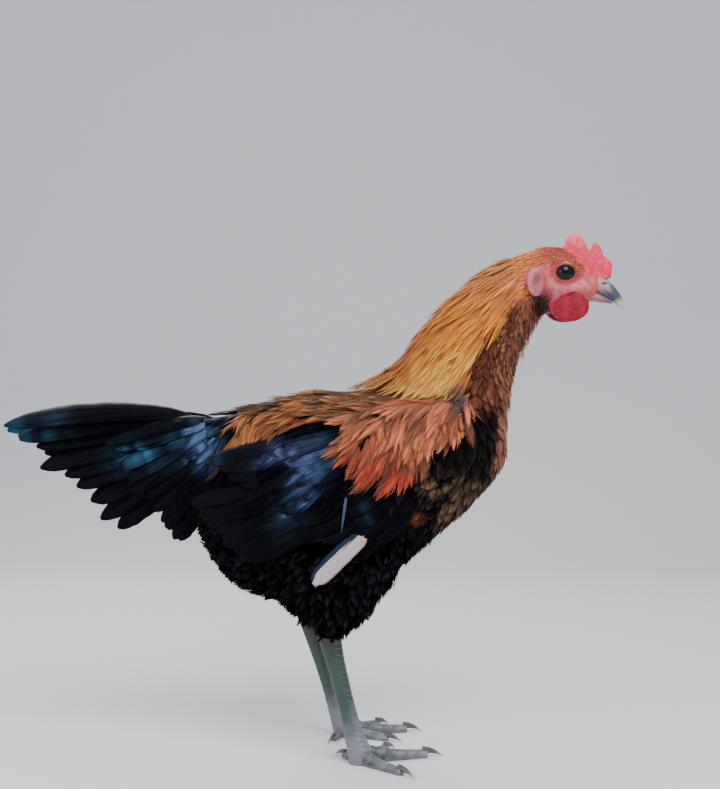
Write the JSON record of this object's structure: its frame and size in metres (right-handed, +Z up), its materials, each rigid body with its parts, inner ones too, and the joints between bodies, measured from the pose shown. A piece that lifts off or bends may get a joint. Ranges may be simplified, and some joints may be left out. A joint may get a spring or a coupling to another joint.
{
  "type": "game cockerel model",
  "caption": "Life-size still model of a young game cockerel standing in profile, with a small comb, long golden neck feathers, a folded dark tail and bare scaled legs.",
  "frame": {"origin": "on the floor under the middle of the bird's bounding box", "axes": "+X towards the beak, +Y towards the bird's left, +Z up"},
  "size_m": [0.5143, 0.1734, 0.4205],
  "materials": {
    "beak_horn": "horn with a low sheen",
    "body_plumage": "matt, fine feathering",
    "claw_horn": "horn with a low sheen",
    "comb_skin": "soft, finely pimpled skin",
    "earlobe_skin": "soft, smooth skin",
    "eye": "wet and clear",
    "face_skin": "soft, finely grained skin",
    "hackle_plumage": "satin, long narrow feathers",
    "leg_scales": "horny scales with a low sheen",
    "tail_plumage": "satin, firm feathers with a blue sheen",
    "thigh_plumage": "matt, soft fine feathering",
    "wing_plumage": "satin, firm feathers with a blue sheen"
  },
  "bodies": {
    "root": {"beak_lower": "beak_horn", "beak_upper": "beak_horn", "claw_hind_left": "claw_horn", "claw_hind_right": "claw_horn", "claw_inner_left": "claw_horn", "claw_inner_right": "claw_horn", "claw_middle_left": "claw_horn", "claw_middle_right": "claw_horn", "claw_outer_left": "claw_horn", "claw_outer_right": "claw_horn", "comb": "comb_skin", "earlobe_left": "earlobe_skin", "earlobe_right": "earlobe_skin", "eye_left": "eye", "eye_right": "eye", "foot_left": "leg_scales", "foot_right": "leg_scales", "head": "face_skin", "neck": "hackle_plumage", "shank_left": "leg_scales", "shank_right": "leg_scales", "tail": "tail_plumage", "thigh_left": "thigh_plumage", "thigh_right": "thigh_plumage", "torso": "body_plumage", "wattle_left": "comb_skin", "wattle_right": "comb_skin", "wing_left": "wing_plumage", "wing_right": "wing_plumage"}
  },
  "joints": []
}
